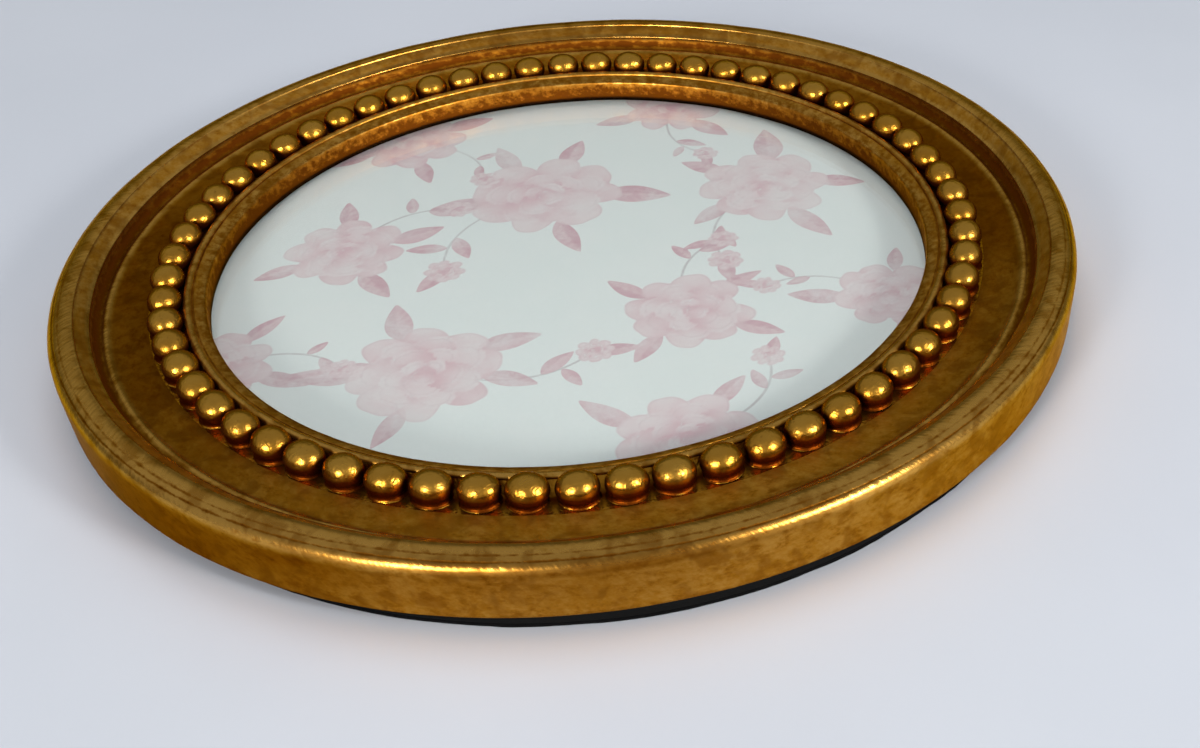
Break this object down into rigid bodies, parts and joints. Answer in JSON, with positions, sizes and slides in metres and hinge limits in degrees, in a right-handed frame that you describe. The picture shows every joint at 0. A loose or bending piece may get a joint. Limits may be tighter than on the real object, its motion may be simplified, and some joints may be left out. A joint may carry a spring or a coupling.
{
  "type": "round picture frame",
  "caption": "Round picture frame with a gilt moulding and a row of pearls round the sight edge, glass over a printed sheet, turn buttons and an easel leg behind.",
  "frame": {"origin": "centre of the rear felt face that the frame lies on", "axes": "+Z out of the picture, +Y towards the top of the picture, +X to the viewer's right"},
  "size_m": [0.2032, 0.2032, 0.0149],
  "materials": {
    "gilt": "antiqued gold leaf over red ground, satin",
    "pearl_gilt": "burnished gold leaf, brighter on the tops",
    "black_board": "black dyed board, matt",
    "black_felt": "black felt, fuzzy",
    "clear_glass": "clear picture glass",
    "print_paper": "pale print with dusty pink flowers, satin",
    "hardboard": "brown hardboard, rough",
    "blacked_steel": "blacked pressed steel, satin",
    "brass_plate": "brass plated, lightly tarnished",
    "zinc_steel": "zinc plated"
  },
  "bodies": {
    "frame": {"moulding_ring": "gilt", "bead_strip": "pearl_gilt", "backing_ring": "black_board", "felt_ring": "black_felt", "glass_disc": "clear_glass", "print_sheet": "print_paper", "back_panel": "hardboard", "hinge_plate": "blacked_steel", "hinge_pin": "zinc_steel", "rivet_left": "zinc_steel", "rivet_right": "zinc_steel", "button_screw_1": "zinc_steel", "button_screw_2": "zinc_steel", "button_screw_3": "zinc_steel", "button_screw_4": "zinc_steel"},
    "strut": {"strut_leg": "blacked_steel"},
    "button_1": {"turn_button_1": "brass_plate"},
    "button_2": {"turn_button_2": "brass_plate"},
    "button_3": {"turn_button_3": "brass_plate"},
    "button_4": {"turn_button_4": "brass_plate"}
  },
  "joints": [
    {"name": "strut_hinge", "type": "hinge", "parent": "frame", "child": "strut", "pos_m": [0, 0.02, 0.00085], "axis": [1, 0, 0], "range_deg": [0, 32]},
    {"name": "button_1_turn", "type": "hinge", "parent": "frame", "child": "button_1", "pos_m": [0.05763, 0.05763, 0.00122], "axis": [0, 0, 1], "range_deg": [-90, 90]},
    {"name": "button_2_turn", "type": "hinge", "parent": "frame", "child": "button_2", "pos_m": [-0.05763, 0.05763, 0.00122], "axis": [0, 0, 1], "range_deg": [-90, 90]},
    {"name": "button_3_turn", "type": "hinge", "parent": "frame", "child": "button_3", "pos_m": [-0.05763, -0.05763, 0.00122], "axis": [0, 0, 1], "range_deg": [-90, 90]},
    {"name": "button_4_turn", "type": "hinge", "parent": "frame", "child": "button_4", "pos_m": [0.05763, -0.05763, 0.00122], "axis": [0, 0, 1], "range_deg": [-90, 90]}
  ]
}
